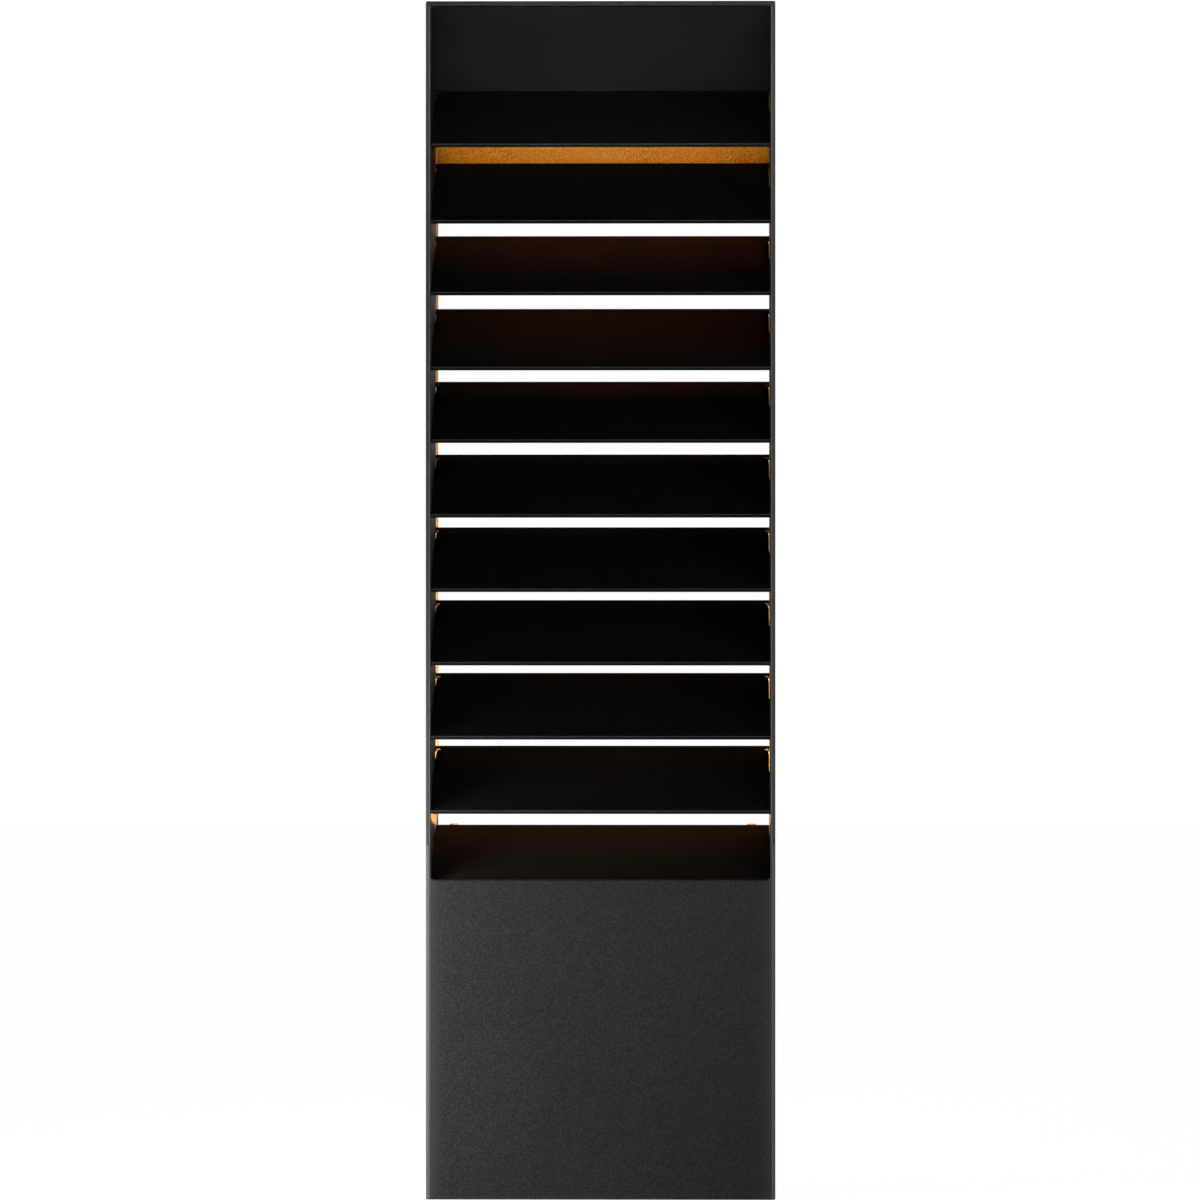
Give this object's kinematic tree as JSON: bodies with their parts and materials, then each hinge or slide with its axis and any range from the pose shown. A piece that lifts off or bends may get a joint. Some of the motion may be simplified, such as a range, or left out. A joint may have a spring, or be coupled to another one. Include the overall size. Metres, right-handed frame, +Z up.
{
  "type": "outdoor wall light",
  "caption": "Tall black wall light with sloping slats in front of an open, upward-lit channel and a closed lower compartment.",
  "frame": {"origin": "centre of the wall box on the wall plane, 80 mm above the case's bottom edge", "axes": "+X across the light to the viewer's right, +Y into the wall, +Z up; the front faces -Y"},
  "size_m": [0.1778, 0.1016, 0.6096],
  "materials": {
    "powder_coat": "sand-textured matte black powder coat",
    "slat_coat": "fine matte black powder coat",
    "gold_coat": "grainy gold paint",
    "heat_sink": "mill finish",
    "lens_white": "frosted",
    "board_white": "white solder mask",
    "chip_yellow": "phosphor",
    "plug_white": "moulded",
    "rubber_black": "matte",
    "foam_black": "closed-cell foam",
    "zinc_steel": "zinc plated",
    "plate_steel": "galvanised",
    "black_steel": "black oxide",
    "earth_green": "green",
    "driver_white": "moulded",
    "lead_white": "smooth",
    "gland_grey": "moulded"
  },
  "bodies": {
    "root": {"housing": "powder_coat", "slat_01": "slat_coat", "slat_02": "slat_coat", "slat_03": "slat_coat", "slat_04": "slat_coat", "slat_05": "slat_coat", "slat_06": "slat_coat", "slat_07": "slat_coat", "slat_08": "slat_coat", "slat_09": "slat_coat", "slat_10": "slat_coat", "top_fascia": "powder_coat", "upper_back_plate": "gold_coat", "sill_plate": "powder_coat", "housing_studs": "zinc_steel", "housing_nuts": "zinc_steel", "lamp_tray": "heat_sink", "led_board": "board_white", "led_chips": "chip_yellow", "led_connector": "plug_white", "lens_gasket": "rubber_black", "lamp_lens": "lens_white", "lens_screws": "zinc_steel", "tray_grommet": "rubber_black", "led_lead": "lead_white", "driver_case": "driver_white", "driver_lid": "driver_white", "driver_screws": "zinc_steel", "driver_glands": "gland_grey", "wall_plate": "plate_steel", "wall_gasket": "foam_black", "cable_grommet": "rubber_black", "lock_screws": "black_steel", "ground_screw": "earth_green"}
  },
  "joints": []
}
